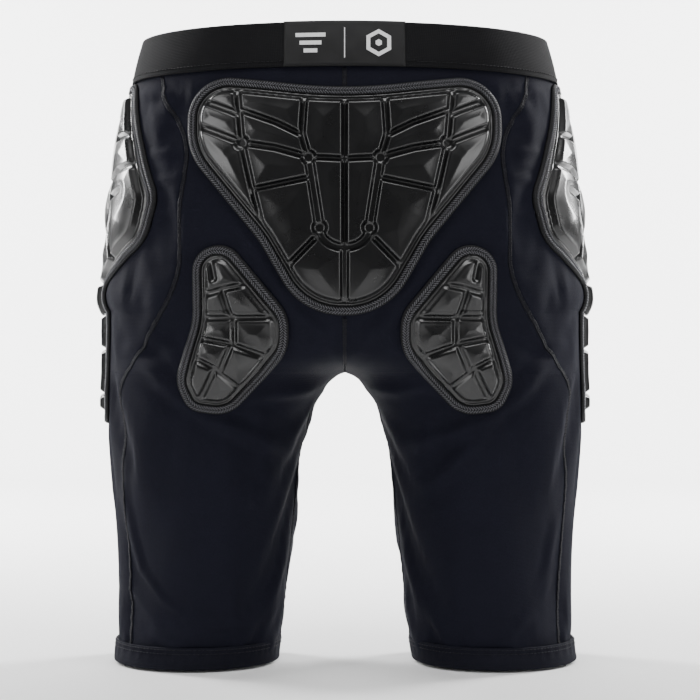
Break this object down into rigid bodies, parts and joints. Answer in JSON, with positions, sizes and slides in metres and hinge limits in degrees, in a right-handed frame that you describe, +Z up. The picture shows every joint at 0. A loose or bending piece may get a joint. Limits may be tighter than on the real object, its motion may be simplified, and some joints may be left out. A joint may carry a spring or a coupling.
{
  "type": "padded impact shorts",
  "caption": "Stretch shorts with an elastic waistband and glossy moulded impact pads sewn over the tailbone, sit bones and hips; each leg swings at the hip.",
  "frame": {"origin": "centre of the waist opening, level with the top edge of the waistband", "axes": "+Z up out of the waist opening, +Y towards the wearer's front, +X towards the wearer's right"},
  "size_m": [0.396, 0.2562, 0.49],
  "materials": {
    "fabric": "matte navy-black stretch knit",
    "elastic": "matte black ribbed elastic",
    "satin": "woven black satin with a white print",
    "pad_skin": "glossy black moulded skin",
    "foam": "soft charcoal foam",
    "tape": "grey-black overlock tape",
    "thread": "grey-black polyester thread"
  },
  "bodies": {
    "seat": {"waistband": "elastic", "waist_label": "satin", "waistband_stitching": "thread", "centre_back_seam": "thread", "centre_front_seam": "thread", "back_panel_left": "fabric", "side_panel_left": "fabric", "front_panel_left": "fabric", "back_side_seam_left": "thread", "front_side_seam_left": "thread", "back_panel_right": "fabric", "side_panel_right": "fabric", "front_panel_right": "fabric", "back_side_seam_right": "thread", "front_side_seam_right": "thread", "tailbone_pad_skin": "pad_skin", "tailbone_foam_core": "foam", "tailbone_edge_tape": "tape", "tailbone_stitching": "thread", "sit_bone_left_pad_skin": "pad_skin", "sit_bone_left_foam_core": "foam", "sit_bone_left_edge_tape": "tape", "sit_bone_left_stitching": "thread", "sit_bone_right_pad_skin": "pad_skin", "sit_bone_right_foam_core": "foam", "sit_bone_right_edge_tape": "tape", "sit_bone_right_stitching": "thread", "hip_left_pad_skin": "pad_skin", "hip_left_foam_core": "foam", "hip_left_edge_tape": "tape", "hip_left_stitching": "thread", "hip_right_pad_skin": "pad_skin", "hip_right_foam_core": "foam", "hip_right_edge_tape": "tape", "hip_right_stitching": "thread"},
    "left_leg": {"left_leg_back": "fabric", "left_leg_side": "fabric", "left_leg_front": "fabric", "left_leg_back_seam": "thread", "left_leg_front_seam": "thread", "left_inseam": "thread", "left_hem": "fabric", "left_hem_stitching": "thread"},
    "right_leg": {"right_leg_back": "fabric", "right_leg_side": "fabric", "right_leg_front": "fabric", "right_leg_back_seam": "thread", "right_leg_front_seam": "thread", "right_inseam": "thread", "right_hem": "fabric", "right_hem_stitching": "thread"}
  },
  "joints": [
    {"name": "left_leg_swing", "type": "hinge", "parent": "seat", "child": "left_leg", "pos_m": [-0.1, 0, -0.25], "axis": [1, 0, 0], "range_deg": [-15, 35]},
    {"name": "right_leg_swing", "type": "hinge", "parent": "seat", "child": "right_leg", "pos_m": [0.1, 0, -0.25], "axis": [1, 0, 0], "range_deg": [-15, 35]}
  ]
}
